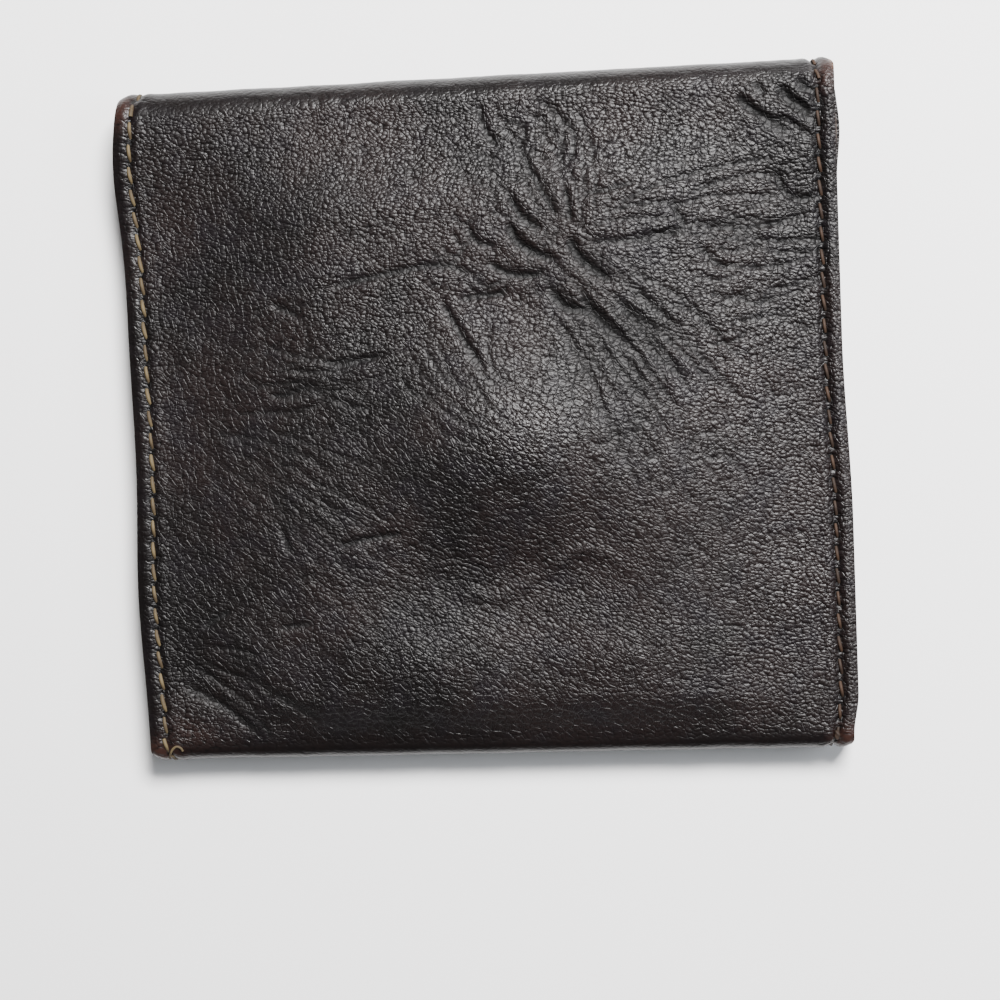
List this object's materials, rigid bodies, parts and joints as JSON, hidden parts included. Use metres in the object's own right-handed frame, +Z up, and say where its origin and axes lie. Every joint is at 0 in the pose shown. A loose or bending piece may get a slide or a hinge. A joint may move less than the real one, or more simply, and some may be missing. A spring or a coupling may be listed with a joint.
{
  "type": "coin purse",
  "caption": "Small square leather flap coin purse with a lined pocket, stitched sides and a press-stud flap that folds open over the top.",
  "frame": {"origin": "middle of the purse's footprint, on the surface it lies on", "axes": "+Z up, out of the rear panel, +Y towards the top fold that the flap turns over, +X to the right seen from above"},
  "size_m": [0.085, 0.081, 0.0105],
  "materials": {
    "leather": "dark brown grained leather, worn satin",
    "lining": "plain woven lining",
    "thread": "waxed olive-tan thread",
    "brass": "aged brass",
    "spring_steel": "bright spring wire"
  },
  "bodies": {
    "purse": {"outer_leather": "leather", "pocket_lining": "lining", "side_thread_left": "thread", "side_thread_right": "thread", "mouth_thread": "thread", "snap_stud": "brass", "stud_eyelet": "brass"},
    "top_fold": {"top_fold_leather": "leather", "top_fold_lining": "lining", "fold_thread_left": "thread", "fold_thread_right": "thread"},
    "flap": {"flap_leather": "leather", "flap_lining": "lining", "flap_thread": "thread", "snap_cap": "brass", "snap_socket": "brass", "snap_spring": "spring_steel"}
  },
  "joints": [
    {"name": "fold_hinge", "type": "hinge", "parent": "purse", "child": "top_fold", "pos_m": [0, 0.03725, 0.0065], "axis": [1, 0, 0], "range_deg": [0, 90]},
    {"name": "flap_hinge", "type": "hinge", "parent": "top_fold", "child": "flap", "pos_m": [0, 0.03725, 0], "axis": [1, 0, 0], "range_deg": [0, 90]}
  ],
  "couplings": [
    {"joint": "flap_hinge", "follows": "fold_hinge", "ratio": 1}
  ]
}
